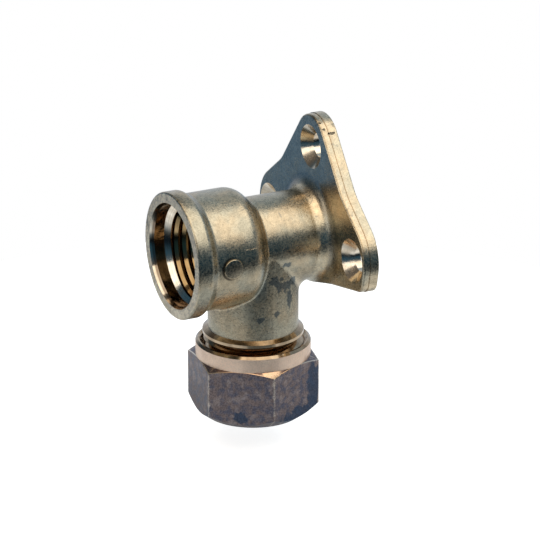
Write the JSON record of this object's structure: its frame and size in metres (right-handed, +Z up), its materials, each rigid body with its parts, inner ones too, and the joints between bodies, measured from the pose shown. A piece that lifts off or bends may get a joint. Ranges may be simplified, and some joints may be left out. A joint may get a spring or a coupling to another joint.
{
  "type": "wall plate elbow",
  "caption": "Brass wall plate elbow: lobed screw plate, female threaded outlet facing out, and a downward leg where a hexagon nut and sealing ring grip a pipe.",
  "frame": {"origin": "on the outlet axis in the flat wall face of the plate", "axes": "+Z up, +Y into the wall, outlet along -Y, pipe leg along -Z"},
  "size_m": [0.0482, 0.0349, 0.0625],
  "materials": {
    "forged_brass": "shot-blasted forging skin, machined bright in the bores",
    "nut_brass": "tarnished dark on the flats, turned satin on the collar",
    "ring_brass": "turned bright"
  },
  "bodies": {
    "elbow": {"elbow_body": "forged_brass"},
    "ring": {"compression_ring": "ring_brass"},
    "nut": {"compression_nut": "nut_brass"}
  },
  "joints": [
    {"name": "ring_slide", "type": "slide", "parent": "elbow", "child": "ring", "axis": [0, 0, -1], "range_m": [0, 0.0073]},
    {"name": "nut_turn", "type": "hinge", "parent": "ring", "child": "nut", "pos_m": [0, -0.01655, 0], "axis": [0, 0, -1], "range_deg": [0, 1440]}
  ],
  "couplings": [
    {"joint": "ring_slide", "follows": "nut_turn", "m_per_rad": 0.00028871}
  ]
}
